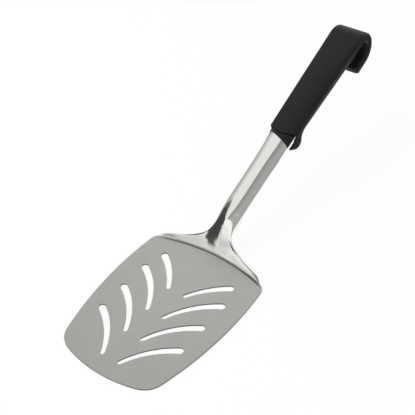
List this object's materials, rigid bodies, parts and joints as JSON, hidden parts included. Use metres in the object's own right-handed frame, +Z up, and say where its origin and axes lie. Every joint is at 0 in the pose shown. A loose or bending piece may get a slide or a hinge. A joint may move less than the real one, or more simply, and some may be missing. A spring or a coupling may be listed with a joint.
{
  "type": "slotted spatula",
  "caption": "Kitchen turner: a flat slotted steel blade with bowed sides, a cranked neck and flattened tube shank, and a black moulded grip that ends in a hanging hook.",
  "frame": {"origin": "on the blade's underside, on its centre line, about half way along the flat blade", "axes": "+X across the blade, +Y from the blade towards the handle, +Z up out of the blade's upper face"},
  "size_m": [0.1, 0.322, 0.0912],
  "materials": {
    "satin_stainless": "satin ground on the blade, polished on the neck",
    "polished_stainless": "polished",
    "sleeve_plastic": "smooth",
    "grip_plastic": "fine matte moulded",
    "pin_steel": "drawn"
  },
  "bodies": {
    "root": {"blade": "satin_stainless", "shank_tube": "polished_stainless", "shank_sleeve": "sleeve_plastic", "handle": "grip_plastic", "retaining_pin": "pin_steel"}
  },
  "joints": []
}
